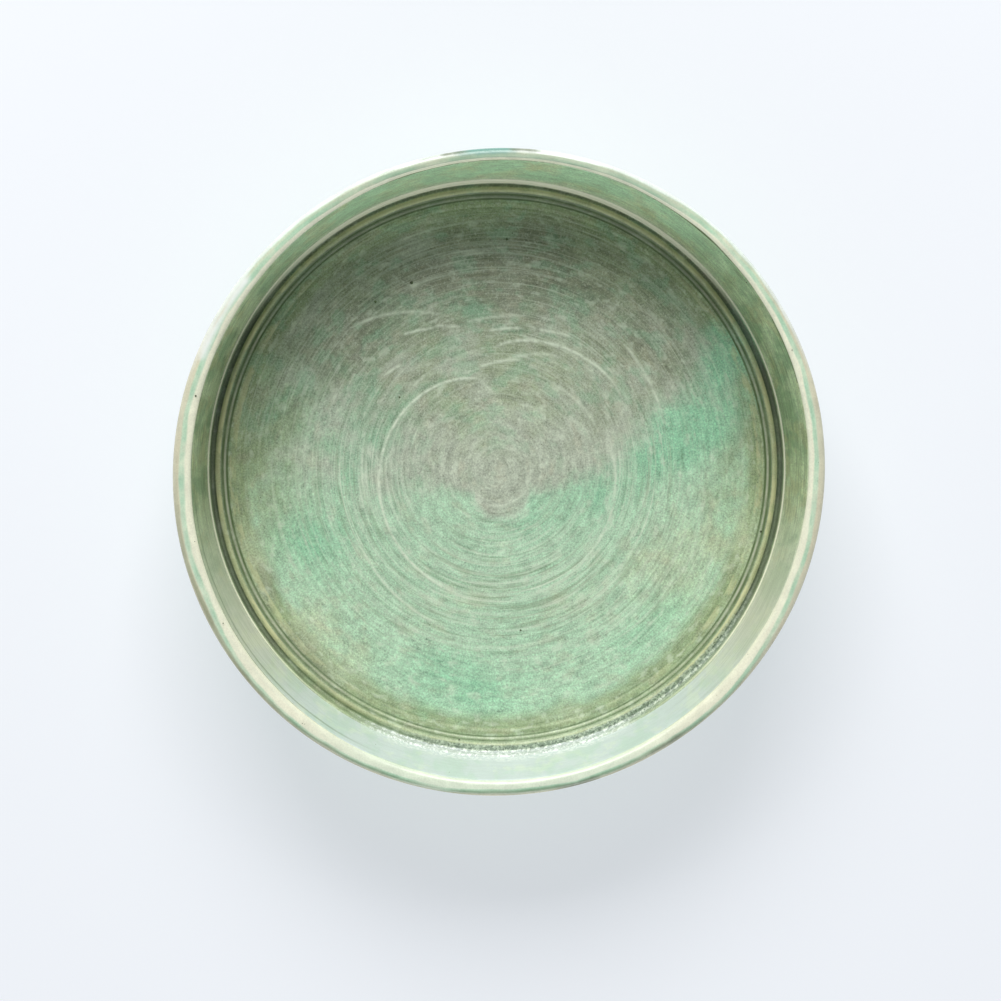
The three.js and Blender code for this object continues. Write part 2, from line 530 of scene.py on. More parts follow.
def wire_turning_lines(w, given):
    vector = polar(w, given["Vector"], given["Along"], given["Across"])
    value = w.noise(vector, 1.0, detail=3.0, roughness=0.6, seed=given["Seed"])
    return [w.ramp(value, given["From"], given["To"])]


def wire_grain(w, given):
    fine = w.noise(given["Vector"], given["Scale"], detail=2.0, roughness=0.7, seed=given["Seed"])
    return [w.ramp(fine, given["From"], given["To"])]


def wire_glaze_mottle(w, given):
    """Shade is a factor near 1 for the glaze's colour: blots, curds and grit, each finer than the
    last. Milk marks the thick opal flecks, and Drift is a soft value that blurs a zone's border."""
    place = given["Vector"]
    seed = given["Seed"]
    blots = w.noise(polar(w, place, 170.0, 210.0), 1.0, detail=1.0, seed=seed)
    curds = w.noise(polar(w, place, 330.0, 620.0), 1.0, detail=1.0, seed=seed + 1.0)
    grit = w.noise(place, 2300.0, detail=1.0, roughness=0.8, seed=seed + 2.0)
    milk = w.noise(polar(w, place, 300.0, 420.0), 1.0, detail=2.0, seed=seed + 3.0)
    drift = w.noise(polar(w, place, 95.0, 60.0), 1.0, detail=4.0, roughness=0.65, seed=seed + 4.0)
    shade = 1.0 + (blots - 0.5) * given["Blots"]
    shade = shade + (curds - 0.5) * given["Curds"] + (grit - 0.5) * given["Grit"]
    return [shade, w.ramp(milk, 0.55, 0.70), drift - 0.5]


turning_lines = shader_group(
    "turning_lines", ("Along", "Across", "From", "To", "Seed"), ("Mask",), wire_turning_lines)
grain = shader_group("grain", ("Scale", "From", "To", "Seed"), ("Mask",), wire_grain)
glaze_mottle = shader_group(
    "glaze_mottle", ("Blots", "Curds", "Grit", "Seed"), ("Shade", "Milk", "Drift"), wire_glaze_mottle)


class Finish(Wiring):
    """A material while it is wired: its shader, the piece's own coordinates and its colour so far."""

    def __init__(self, name):
        self.material = bpy.data.materials.new(name)
        self.material.use_nodes = True
        self.material.node_tree.nodes.clear()
        super().__init__(self.material.node_tree)
        self.shader = self.add("ShaderNodeBsdfPrincipled")
        self.add("ShaderNodeOutputMaterial", {0: self.shader.outputs[0]})
        self.place = self.out("ShaderNodeTexCoord", output="Object")
        self.colour = None

    def measures(self):
        """x, y, z and radius in millimetres, and how far a place lies to the right and to the back,
        each from -1 to 1."""
        x, y, z = self.split(self.scaled(self.place, 1 / MM))
        radius = self.math("SQRT", x * x + y * y)
        return x, y, z, radius, x / radius, y / radius

    def own(self, name):
        """An attribute of the piece's mesh."""
        return self.out("ShaderNodeAttribute", output="Fac", attribute_name=name)

    def lay(self, tint, amount, *masks):
        """Lays a tint over the colour so far."""
        self.colour = self.over(self.colour, tint, amount, *masks)

    def cloud(self, around, across, seed, roughness=0.5):
        """Soft noise that follows the wheel."""
        vector = polar(self, self.place, around, across)
        return self.noise(vector, 1.0, detail=3.0, roughness=roughness, seed=seed)

    def placed(self, group, *values):
        """A shader group on the piece's own coordinates, with values for its other inputs in order."""
        feeds = dict(enumerate((self.place, *values)))
        node = self.add("ShaderNodeGroup", feeds, node_tree=group)
        return [Value(self, output) for output in node.outputs]

    def lines(self, along, across, low, high, seed):
        """Streaks along the turning lines, where the noise lies past the span low to high."""
        return self.placed(turning_lines, along, across, low, high, seed)[0]

    def grains(self, scale, low, high, seed):
        """Grains, where the noise lies past the span low to high."""
        return self.placed(grain, scale, low, high, seed)[0]

    def mottle(self, blots, curds, grit, seed):
        """The mottle's shade, milk and drift."""
        return self.placed(glaze_mottle, blots, curds, grit, seed)

    def zone(self, name, drift, low, high, amount):
        """How much of a zone's tint shows, with its border broken up by drift."""
        return self.ramp(self.own(name) + drift * amount, low, high)

    def finished(self, roughness, height, depth, strength):
        """The material, with relief that is depth millimetres deep where height is 1."""
        feeds = {"Strength": strength, "Distance": depth * MM, "Height": height}
        bump = self.out("ShaderNodeBump", feeds)
        self.give(self.shader, {"Base Color": self.colour, "Roughness": roughness, "Normal": bump})
        return self.material


STONE = srgb(177, 186, 168)
MINT = srgb(178, 213, 183)
POOL = srgb(148, 203, 168)
OLIVE = srgb(150, 168, 128)
UMBER = srgb(130, 136, 112)
BEIGE = srgb(190, 203, 170)
MILK_AND_SHEEN = srgb(226, 238, 216)
CREAM = srgb(238, 238, 214)
SOOT_AND_SHADE = srgb(70, 78, 66)
LEAF = srgb(202, 219, 176)
MOSS = srgb(96, 118, 76)
RUST = srgb(184, 180, 156)
FERN = srgb(124, 162, 118)
STRAW = srgb(196, 192, 142)
FROST_SHEEN_TINT = srgb(210, 221, 221)
TAN = srgb(214, 210, 184)
LIP_MINT = srgb(172, 210, 180)
TEAL = srgb(116, 160, 148)
SAND = srgb(208, 208, 160)
IRON = srgb(62, 58, 48)
ASH = srgb(158, 174, 160)
JADE = srgb(172, 214, 176)
VERDIGRIS = srgb(138, 178, 146)
GLINT_WHITE = srgb(240, 246, 242)
SMOKE_AND_SHADE = srgb(124, 132, 112)
PARCHMENT = srgb(224, 217, 184)

# The bands at the wall's foot: middle radius, half width and tint of each, its amount at the
# front, at the sides and at the back, and how much of it is worn away in patches.
FOOT_BANDS = (
    (67.3, 0.80, SAND, 0.12, 0.42, 0.05, 0.95),
    (69.4, 0.95, SMOKE_AND_SHADE, 0.0, 0.60, 0.80, 0.30),
    (68.75, 0.22, MOSS, 0.52, 0.95, 0.60, 0.30),
    (69.3, 0.20, CREAM, 0.17, 0.34, 0.0, 0.50),
    (69.95, 0.24, MOSS, 0.50, 0.90, 0.60, 0.30),
    (71.05, 0.60, SAND, 0.30, 0.85, 0.64, 0.45),
    # The dark channel bands: glaze pooled in the channel, and painted shade where the wall shades it.
    (72.30, 0.62, SOOT_AND_SHADE, 0.15, 0.74, 0.0, 0.15),
    (72.15, 0.30, SOOT_AND_SHADE, 0.0, 0.0, 0.50, 0.25),
    (73.28, 0.18, CREAM, 0.0, 1.0, 1.0, 0.10),
    (73.05, 0.42, CREAM, 0.0, 0.0, 1.0, 0.10),
)


def lay_floor_zones(coat, y, mint, drift):
    """The floor's zones, from the dry grey middle out to the mint and green pools. The umber zone is partly
    painted shadow at the back.
    """
    coat.colour = coat.over(STONE, MINT, mint)
    coat.lay(OLIVE, coat.zone("olive", drift, 0.15, 0.95, 1.4))
    # Umber glaze, and towards the back painted shadow of the back wall.
    coat.lay(UMBER, coat.zone("umber_and_shadow", drift, 0.15, 0.95, 1.4))
    coat.lay(BEIGE, coat.zone("beige", drift, 0.20, 1.00, 1.6))
    coat.lay(RUST, 0.30, coat.ramp(coat.cloud(190.0, 240.0, 18.0), 0.52, 0.68))
    hue = coat.cloud(130.0, 150.0, 33.0, roughness=0.6)
    upper = coat.ramp(y, -10.0, 20.0, 0.20, 1.0)
    coat.lay(VERDIGRIS, 0.50, coat.ramp(hue, 0.50, 0.62), upper)
    coat.lay(UMBER, 0.30, coat.ramp(hue, 0.46, 0.36), upper)
    coat.lay(POOL, coat.zone("pool", drift, 0.15, 0.95, 1.2))


def wall_colour(coat, z, right, front, frost_and_sheen, drift, lines):
    """The wall: leaf green with moss streaks at the sides. At the front, which faces the window, it is pale
    and smooth: partly frosted glaze and partly painted sheen.
    """
    streaks = coat.lines(70.0, 700.0, 0.40, 0.68, 6.0)
    ferns = coat.lines(130.0, 40.0, 0.44, 0.58, 26.0)
    straws = coat.lines(170.0, 70.0, 0.50, 0.62, 27.0)
    smooth = 1.0 - frost_and_sheen
    shaded = coat.ramp(front, -0.95, -0.55, 0.35, 1.0)
    green = coat.over(LEAF, FERN, 0.70, ferns, shaded)
    green = coat.over(green, STRAW, 0.50, straws)
    green = coat.over(green, MOSS, 0.48, streaks, smooth, shaded)
    green = coat.over(green, MILK_AND_SHEEN, 0.30, lines, smooth)
    behind = coat.ramp(front, -0.45, -0.90)
    green = coat.over(green, JADE, 0.80, behind, coat.ramp(drift, -0.16, 0.06))
    green = coat.over(green, BEIGE, 0.65, behind, coat.ramp(z + drift * 8.0, 18.0, 14.5))
    # The pale frost tint at the front is partly painted sheen, standing for the window's reflection.
    frost_sheen_colour = coat.over(FROST_SHEEN_TINT, MILK_AND_SHEEN, 0.45, straws)
    frost_sheen_colour = coat.over(frost_sheen_colour, LIP_MINT, 0.30, ferns)
    frost_sheen_colour = coat.over(frost_sheen_colour, PARCHMENT, coat.ramp(front, 0.82, 0.50, 0.0, 0.50))
    green = coat.over(green, frost_sheen_colour, frost_and_sheen)

    # A fine dark line under the lip on the left, where the thrower's rib stopped.
    level = z + drift * 1.6
    ribbed = share_of(coat.ramp(level, 31.6, 32.2), coat.ramp(level, 33.4, 32.8))
    leftward = share_of(coat.ramp(right, -0.35, -0.60), coat.ramp(front, -0.10, 0.15))
    green = coat.over(green, MOSS, 0.50, ribbed, leftward)
    return coat.over(green, MOSS, 0.22, streaks, frost_and_sheen, coat.ramp(front, 0.95, 0.60))


def lay_foot_bands(coat, z, radius, right, front, floor):
    """The bands at the wall's foot, with the ashen frost in the channel at the front, and a painted
    glint along the wall's foot there. Returns where the glint's grains stand up."""
    frayed = coat.noise(coat.place, 420.0, detail=3.0, roughness=0.7, seed=25.0) - 0.5

    def ring(middle, half_width, softness=0.12, ragged=0.0):
        away = coat.math("ABSOLUTE", radius + frayed * ragged - middle)
        return coat.ramp(away, half_width + softness, half_width - softness)

    worn = coat.lines(150.0, 300.0, 0.42, 0.58, 16.0)
    for middle, half_width, tint, at_front, at_side, at_back, wear in FOOT_BANDS:
        amount = coat.ramp(front, 0.45, 0.95, at_side, at_front)
        amount = amount + coat.ramp(front, -0.45, -0.85, 0.0, at_back - at_side)
        amount = amount * coat.ramp(worn, 0.0, 1.0, 1.0 - wear, 1.0)
        coat.lay(tint, amount, ring(middle, half_width), floor)
    facing = coat.ramp(front + right * 0.35, 0.70, 0.98)
    crystal_and_glint_grains = coat.grains(1100.0, 0.48, 0.56, 24.0)
    cinders = coat.grains(1300.0, 0.50, 0.60, 28.0)
    ashen = share_of(ring(71.9, 0.95, 0.30, 1.2), floor, facing)
    coat.lay(ASH, 0.75, ashen)
    coat.lay(SOOT_AND_SHADE, 0.60, ashen, cinders)
    coat.lay(MILK_AND_SHEEN, 0.70, ashen, crystal_and_glint_grains)
    # Painted glint: a bright line of white grains where the rounded foot of the wall faces the window.
    low_down = coat.ramp(z + frayed * 9.0, 18.6, 15.6)
    painted_glint = share_of(ring(73.3, 0.85, 0.20, 1.6), low_down, coat.ramp(front, 0.84, 0.97))
    coat.lay(FROST_SHEEN_TINT, 0.60, painted_glint)
    coat.lay(GLINT_WHITE, 0.9, painted_glint, crystal_and_glint_grains)
    return share_of(crystal_and_glint_grains, painted_glint)


def make_inside_finish():
    coat = Finish("inside_celadon")
    _, y, z, radius, right, back = coat.measures()
    front = back * -1.0
    wall = coat.ramp(z, WALL_STEP[1] - 0.1, WALL_STEP[1] + 0.4)
    floor = 1.0 - wall
    # Where the wall faces the window: frosted glaze and partly painted sheen.
    frost_and_sheen = coat.ramp(front, -0.05, 0.55)
    shade, milk, drift = coat.mottle(0.34, 0.76, 1.35, 2.0)
    combed = coat.own("combed")
    lines = coat.lines(45.0, 1500.0, 0.52, 0.66, 3.0)
    furrows = coat.lines(50.0, 1100.0, 0.36, 0.50, 8.0)
    combing = coat.lines(26.0, 2300.0, 0.50, 0.60, 23.0)
    hairs = coat.lines(120.0, 3200.0, 0.45, 0.7, 9.0)
    specks = coat.grains(1900.0, 0.56, 0.72, 4.0)
    salt = coat.grains(1700.0, 0.54, 0.66, 14.0)
    mint = coat.zone("mint", drift, 0.15, 0.90, 1.4)
    dry = (1.0 - mint) * floor
    lay_floor_zones(coat, y, mint, drift)
    coat.lay(wall_colour(coat, z, right, front, frost_and_sheen, drift, lines), wall)

    # The mottle and the throwing marks, which lie softer on the frosted wall at the front, where painted
    # sheen partly washes them out.
    soft_wall = share_of(0.85, wall, frost_and_sheen)
    rough_floor = 1.0 - soft_wall
    coat.colour = coat.scaled(coat.colour, shade + (1.0 - shade) * soft_wall)
    coat.lay(MILK_AND_SHEEN, 0.36, milk, rough_floor, floor)
    coat.lay(MILK_AND_SHEEN, 0.50, lines, combed)
    coat.lay(MILK_AND_SHEEN, 0.38, combing, combed, floor)
    coat.lay(MOSS, 0.38, 1.0 - furrows, combed)
    patchy = coat.ramp(coat.noise(coat.place, 700.0, seed=5.0), 0.30, 0.62, 0.45, 1.0)
    coat.lay(MILK_AND_SHEEN, 0.95, coat.own("thin"), patchy)
    coat.lay(SOOT_AND_SHADE, 0.30, specks, rough_floor)
    coat.lay(MILK_AND_SHEEN, 0.28, salt, coat.ramp(dry, 0.0, 1.0, 0.35, 1.0), rough_floor)

    # Painted shadow: the floor is darkened towards the back, where the back wall's shadow falls.
    back_shadow = share_of(0.10, coat.ramp(y, -25.0, 20.0), coat.ramp(radius, 5.0, 25.0),
                     coat.ramp(radius, 66.0, 61.0))
    coat.colour = coat.scaled(coat.colour, 1.0 - back_shadow)
    crystal_and_glint_grains = lay_foot_bands(coat, z, radius, right, front, floor)
    rough = coat.ramp(dry, 0.0, 1.0, 0.36, 0.60) + hairs * 0.10
    height = hairs * 0.6 - specks * 0.5 + crystal_and_glint_grains * 2.0
    return coat.finished(rough, height * rough_floor, 0.03, 0.7)


def make_rim_finish():
    """Bands that run round the lip, from its inner edge to its outer edge, and its stains, with painted
    highlight where the lip faces the window and painted shade where it faces away.
    """
    coat = Finish("rim_cream")
    *_, right, back = coat.measures()
    edge = coat.cloud(45.0, 60.0, 1.0, roughness=0.6)
    along = coat.own("run") * (1 / MM) + (edge - 0.5) * 2.2
    # At the front the lip's bands lie farther out, which widens the crown there: partly painted highlight.
    outward = along - coat.ramp(back, -0.30, -0.80) * 0.9
    # Towards the back and right the dark inner line reaches farther up: painted shade, where the inner
    # slope faces away from the window.
    inward = along - coat.ramp(back + right * 0.4, 0.35, 0.85) * 0.45
    behind = coat.ramp(back, 0.35, 0.85)
    shade, milk, drift = coat.mottle(0.30, 0.25, 0.35, 40.0)
    streaks = coat.lines(60.0, 1300.0, 0.42, 0.66, 6.0)
    # The crown is cream. At the front it goes milk white and covers the dark inner line: painted highlight
    # where the inner slope faces the window.
    crown_and_highlight = coat.over(CREAM, MILK_AND_SHEEN, coat.ramp(back, -0.75, -0.97))
    clear = coat.ramp(back - right * 0.2, -0.40, -0.70)
    coat.colour = coat.over(MOSS, crown_and_highlight, coat.math("MAXIMUM", coat.ramp(inward, 0.9, 1.5), clear))
    coat.lay(LIP_MINT, coat.ramp(outward, 3.0, 3.5), coat.ramp(drift, -0.22, 0.10, 0.35, 1.0))
    coat.lay(TAN, coat.ramp(outward, 4.0, 4.6), coat.ramp(behind, 0.0, 1.0, 1.0, 0.35))
    coat.lay(LIP_MINT, coat.ramp(along, 4.6, 5.4), behind)
    # Painted shade: smoke grey over the lip's inner slope at the back, which faces away from the window.
    coat.lay(SMOKE_AND_SHADE, coat.ramp(along, 2.9, 3.4), coat.ramp(back, 0.70, 0.98, 0.0, 0.45))
    # Painted highlight: a white band on the outer slope at the back, where the window is reflected.
    outer_slope_highlight = share_of(coat.ramp(along, 4.7, 5.3), coat.ramp(along, 7.0, 6.2))
    coat.lay(GLINT_WHITE, 0.75, outer_slope_highlight, coat.ramp(back, 0.25, 0.50))
    # Painted shade: a dark line on the outer slope at the front, which faces away from the window.
    outer_slope_shade = share_of(coat.ramp(along, 4.3, 4.8), coat.ramp(along, 6.2, 5.4))
    coat.lay(MOSS, 0.50, outer_slope_shade, coat.ramp(back + right * 0.3, -0.15, -0.70))
    coat.colour = coat.scaled(coat.colour, shade)
    coat.lay(MILK_AND_SHEEN, 0.22, streaks)
    # The pale zone is painted highlight on the lip at the back. Teal and smoke are stains.
    coat.lay(GLINT_WHITE, coat.zone("pale", drift, 0.2, 1.0, 1.0))
    coat.lay(TEAL, coat.zone("teal", drift, 0.2, 1.0, 1.6))
    coat.lay(SMOKE_AND_SHADE, coat.zone("smoke", drift, 0.2, 1.0, 1.6))
    return coat.finished(coat.ramp(milk, 0.0, 1.0, 0.26, 0.36), streaks, 0.02, 0.5)


def make_outside_finish():
    coat = Finish("outside_celadon")
    _, _, height, _, _, back = coat.measures()
    shade, milk, drift = coat.mottle(0.40, 0.60, 0.90, 12.0)
    lines = coat.lines(55.0, 1100.0, 0.45, 0.68, 13.0)
    coat.colour = coat.over(MINT, LEAF, coat.ramp(drift, -0.16, 0.14))
    coat.lay(MOSS, 0.30, coat.lines(50.0, 500.0, 0.42, 0.66, 15.0))
    coat.lay(JADE, 0.35, coat.ramp(drift, 0.10, -0.15))
    coat.lay(POOL, 0.65, coat.ramp(height + drift * 6.0, 11.0, 6.0))
    coat.colour = coat.scaled(coat.colour, shade)
    coat.lay(MILK_AND_SHEEN, 0.30, milk)
    coat.lay(CREAM, 0.45, coat.own("thin"), lines)
    lip_tint = coat.over(TAN, LIP_MINT, coat.ramp(back, 0.35, 0.85))
    coat.lay(lip_tint, 0.85, coat.ramp(height + drift * 5.0, 33.0, 36.5))
    return coat.finished(coat.ramp(lines, 0.0, 1.0, 0.30, 0.42), lines, 0.03, 0.6)


def make_clay_finish(name, light, dark, seed):
    clay = Finish(name)
    tooth = clay.grains(1800.0, 0.3, 0.7, seed)
    lines = clay.lines(30.0, 1600.0, 0.35, 0.7, seed)
    clay.colour = clay.over(dark, light, tooth)
    clay.lay(dark, 0.4, lines)
    clay.lay(SOOT_AND_SHADE, 0.7, clay.grains(700.0, 0.70, 0.76, seed + 1.0))
    rough = clay.ramp(tooth, 0.0, 1.0, 0.9, 0.78)
    return clay.finished(rough, tooth * 0.4 + lines * 0.6, 0.08, 0.8)


def make_iron_finish():
    speck = Finish("iron_specks")
    colour = speck.over(IRON, MOSS, speck.grains(4000.0, 0.40, 0.60, 41.0))
    speck.give(speck.shader, {"Base Color": colour, "Roughness": 0.55})
    return speck.material


# --- The members ----------------------------------------------------------------------------------

BED = GLAZE + 0.2  # the clay under the floor lies this far below the glazed face
STAND_OFF = 0.05  # a gap that keeps the clay from showing through a coat
HEEL_TOP = 14.0
HEEL_ROUND = 8.0
OUTER_BULGE = 1.4  # how far in the outer wall's middle is drawn from the lip
heel_radius = rim_radius - 2.2
heel_bend = HEEL_TOP - 6.0
wall_middle = (lip_shoulder + HEEL_TOP) / 2
line_height = foot_top + 0.4  # the glaze line's height


def floor_height(radius):
    """Height of the glazed floor at a radius, out to the channel at the wall's foot."""
    radius = np.asarray(radius, float)
    height = FLOOR_MIDDLE + FLOOR_SAG * np.clip(radius / FLOOR_RADIUS, 0, 1) ** 2
    cove = np.clip((radius - FLOOR_RADIUS + 3) / (WALL_FOOT[0] - FLOOR_RADIUS + 3), 0, 1)
    height = height + COVE_RISE * cove ** 2
    for centre, half_width, rise in RINGS:
        height = height + rise * np.exp(-((radius - centre) / half_width) ** 2)
    return height


def inside_section():
    radii = np.concatenate([
        np.linspace(0, FLOOR_RADIUS, 275),
        np.linspace(FLOOR_RADIUS, CHANNEL_OUTER, 56)[1:],
    ])
    heights = floor_height(radii)
    last = heights[-1]
    under = floor_height(FLOOR_RADIUS) - BED
    section = Section(0.0, heights[0], 1.0)
    section.through(list(zip(radii[1:], heights[1:])), 1.0)
    section.bend((72.75, last), (72.85, last + 0.4), WALL_FOOT, count=7, relief=0.4)
    section.bend((73.0, 13.25), WALL_STEP, count=4, relief=0.3)
    section.bend((73.75, 13.6), (74.6, 24.0), (lip_inner, lip_shoulder), count=34, relief=1.0)
    section.line(lip_inner + GLAZE, lip_shoulder)
    section.line(WALL_FOOT[0] + GLAZE, WALL_FOOT[1], count=4)
    section.line(WALL_FOOT[0], under, count=2)
    section.line(FLOOR_RADIUS, under)
    section.line(0.0, FLOOR_MIDDLE - BED, count=4)
    return section


def over_lip(half_width, rise, start, end, count):
    """An arch over the lip's middle, from one angle to another."""
    return [(lip_middle + half_width * math.cos(angle), lip_shoulder + rise * math.sin(angle))
            for angle in np.linspace(start, end, count)]


def rim_section():
    skirt = lip_shoulder - 1.4  # how far down the coat laps over the other two
    swell = lip_shoulder - 0.8
    section = Section(lip_inner + 0.02, skirt)
    section.bend((lip_inner - 0.12, swell), (lip_inner, lip_shoulder), count=5, relief=0.2)
    section.through(over_lip(LIP_WIDTH / 2, LIP_CROWN, math.pi, 0, 25)[1:], 0.3)
    section.bend((rim_radius + 0.03, swell), (rim_radius - 0.12, skirt), count=5, relief=0.2)
    section.line(rim_radius - GLAZE, lip_shoulder - 1.0)
    section.through(over_lip(LIP_WIDTH / 2 - GLAZE, 0.6, 0, math.pi, 9))
    section.line(*section.points[0])
    return section


def outside_section():
    roll = 0.75  # the coat's lower edge is rolled up to this thickness
    edge = rim_radius - 0.06
    heel = heel_radius - HEEL_ROUND
    section = Section(edge, lip_shoulder)
    section.bend((rim_radius - OUTER_BULGE, wall_middle), (heel_radius, HEEL_TOP), count=44, relief=1.0)
    section.bend((heel_radius, heel_bend), (heel, line_height + 0.8),
                 (glaze_line + 1.2, line_height - 0.05), count=44, relief=0.7)
    section.bend((glaze_line + 0.5, line_height - 0.25), (glaze_line, line_height - 0.1),
                 (glaze_line - 0.05, line_height + 0.35), count=6, relief=0.3)
    section.line(glaze_line, line_height + roll)
    section.bend((heel - GLAZE, line_height + 0.8 + GLAZE), (heel_radius - GLAZE, heel_bend),
                 (heel_radius - GLAZE, HEEL_TOP), count=10)
    section.bend((rim_radius - OUTER_BULGE - GLAZE, wall_middle), (edge - GLAZE, lip_shoulder), count=6)
    section.line(edge, lip_shoulder)
    return section


def clay_section():
    skin = GLAZE + STAND_OFF
    top = lip_shoulder - 0.2
    sole = foot_top + 0.02
    under = floor_height(FLOOR_RADIUS) - BED - STAND_OFF
    section = Section(0.0, FLOOR_MIDDLE - BED - STAND_OFF)
    section.line(FLOOR_RADIUS, under, count=6)
    section.line(WALL_FOOT[0] + 0.2, under, count=2)
    section.line(WALL_FOOT[0] + skin, WALL_FOOT[1], count=2)
    section.line(lip_inner + skin, top, count=4)
    section.line(rim_radius - skin, top)
    section.bend((rim_radius - OUTER_BULGE - skin, wall_middle), (heel_radius - skin, HEEL_TOP), count=6)
    section.bend((heel_radius - GLAZE, heel_bend + 0.2), (heel_radius - HEEL_ROUND - GLAZE, foot_top + 1.9),
                 (glaze_line + 0.3, foot_top + 0.9), count=8)
    section.line(glaze_line - 0.6, foot_top + 0.35, count=3, relief=0.5)
    section.line(foot_outer + FOOT_EDGE, sole, count=12, relief=1.0)
    section.line(foot_inner - FOOT_EDGE, sole, count=2)
    hollow = 0.35
    section.through([(r, sole + hollow * (1 - (r / foot_inner) ** 2)
                      - hollow * math.exp(-((r - 1.2) / 1.6) ** 2))
                     for r in np.linspace(foot_inner - FOOT_EDGE, 0, 150)[1:]], 1.0)
    return section


def foot_section():
    flare_foot = foot_top - 1.2
    flare_bend = foot_top - 0.2
    section = Section(foot_inner - FOOT_FLARE, foot_top)
    section.line(foot_outer + FOOT_FLARE, foot_top, count=2)
    section.bend((foot_outer + 0.1, flare_bend), (foot_outer, flare_foot), count=6, relief=0.5)
    section.line(foot_outer, FOOT_EDGE, count=16, relief=1.0)
    section.bend((foot_outer, 0.25), (foot_outer - 0.25, 0.0), (foot_outer - FOOT_EDGE, 0.0),
                 count=7, relief=0.4)
    section.line(foot_inner + FOOT_EDGE, 0.0, count=12)
    section.bend((foot_inner + 0.25, 0.0), (foot_inner, 0.25), (foot_inner, FOOT_EDGE), count=7, relief=0.4)
    section.line(foot_inner, flare_foot, count=16, relief=1.0)
    section.bend((foot_inner - 0.1, flare_bend), (foot_inner - FOOT_FLARE, foot_top), count=6, relief=0.4)
    return section


# Zones of the inside glaze. Each soft patch has its middle (x, y), its half length and half width,
# the heading of its length in degrees, and its amount.
ZONES = {
    "mint": (
        (-52, 12, 24, 13, 70, 0.62),
        (-30, 42, 14, 9, 30, 0.42),
        (-4, 44, 12, 6, 0, 0.32),
        (52, 30, 14, 8, 100, 0.35),
    ),
    "pool": (
        (12, -12, 13, 6, 12, 0.50),
        (30, -5, 12, 6, 28, 0.70),
        (48, 9, 12, 7, 35, 1.15),
        (58, 27, 10, 6, 70, 0.95),
        (-46, -19, 9, 8, 0, 0.75),
        (-37, -4, 9, 7, 0, 0.42),
        (-9, -55, 16, 8, -8, 0.62),
        (39, -41, 13, 5, 40, 0.52),
        (-57, 20, 6, 10, 0, 0.30),
        (2, -14, 12, 4, 0, 0.25),
        (-34, 6, 24, 13, 80, 0.44),
        (4, 40, 60, 6, 0, 0.28),
    ),
    "olive": (
        (-4, 28, 48, 17, 0, 0.56),
        (30, 52, 22, 11, -28, 0.85),
        (-37, 47, 20, 9, 38, 0.65),
        (0, 62, 34, 6, 0, 0.75),
        (60, 30, 14, 7, 110, 0.45),
        (-60, 14, 30, 11, 95, 0.70),
        (62, -2, 22, 8, 90, 0.55),
    ),
    # umber: darker glaze. Its large patches at the back are painted shadow of the back wall on the floor.
    "umber_and_shadow": (
        (0, 48, 40, 12, 0, 0.80),
        (-37, 33, 17, 13, 48, 0.72),
        (38, 35, 17, 12, -45, 0.62),
        (-28, 20, 16, 10, 50, 0.42),
        (30, 22, 15, 10, -45, 0.36),
        (9, 57, 10, 7, 0, 0.95),
        (-14, 48, 8, 8, 0, 0.70),
        (24, 46, 12, 6, -20, 0.55),
        (-34, 46, 7, 5, 30, 0.50),
        (-56, 34, 5, 9, -30, 0.45),
        (61, 6, 3, 9, 0, 0.40),
        (-59, -29, 3, 5, 0, 0.70),
        (-47, -49, 12, 3, -46, 0.62),
    ),
    "beige": (
        (46, -22, 12, 9, 60, 0.80),
        (-42, -45, 14, 6, -44, 0.62),
        (64, -15, 4, 9, 0, 0.70),
        (-12, -35, 14, 7, 0, 0.45),
        (20, -35, 13, 6, 20, 0.40),
        (-62, -22, 4, 14, 10, 0.55),
        (24, -61, 16, 4, 22, 0.45),
    ),
    "combed": (
        (8, -30, 36, 14, 0, 1.0),
        (-36, -6, 12, 20, 0, 0.9),
        (38, -6, 11, 20, 0, 0.8),
        (30, -34, 20, 9, 45, 0.8),
        (-26, 26, 16, 7, 40, 0.5),
        (14, 30, 22, 9, 0, 0.55),
        (-6, 54, 44, 10, 0, 0.62),
        (-46, 30, 20, 9, 55, 0.62),
        (46, 34, 20, 9, -55, 0.55),
        (0, 0, 70, 70, 0, 0.26),
    ),
}

# The shore where the dry grey middle meets the mint: its height at the middle, where it starts to
# climb on each side and how steeply, and the round bay under the middle of the floor.
SHORE = -6.0
SHORE_RIGHT = (20.0, 0.62)
SHORE_LEFT = (-26.0, 0.36)
SHORE_CRISP = (3.0, 12.0)  # middle and half width of the stretch where its border is crisp
SHORE_SOFTNESS = (1.3, 0.10)  # of the border there, and how it grows with each millimetre past it
BAY_MIDDLE = 1.3
BAY_RADIUS = 7.0
BAY_OUTLINE = (0.7, 0.18)  # half width of the pale line round it, and how pale
OLIVE_EDGE = (60.5, 5.0, 0.95)  # the olive at the floor's edge: start, width and amount
CREST_PALENESS = 0.45  # of the ripple's crests where the floor is combed
CREST_BASE = 0.12  # the share of it elsewhere

# Stains on the lip, and pale patches that are painted highlight: start and end heading in degrees, distance
# along the section, half width, amount.
LIP_STAINS_AND_GLINTS = {
    # pale: painted highlight where the window is reflected on the lip at the back and back left.
    "pale": ((143.0, 158.0, 4.3, 0.9, 0.75), (78.0, 102.0, 5.2, 0.5, 0.60)),
    "teal": ((88.0, 97.0, 5.5, 0.9, 1.05),),
    "smoke": (
        (97.0, 99.5, 5.6, 0.8, 0.85),
        (84.0, 87.0, 5.6, 0.8, 0.85),
        (101.0, 103.5, 5.6, 0.8, 0.6),
        (-61.0, -56.0, 5.1, 0.8, 0.80),
        (-78.0, -73.0, 5.6, 0.8, 0.70),
        (-128.0, -122.0, 5.6, 0.8, 0.4),
    ),
}
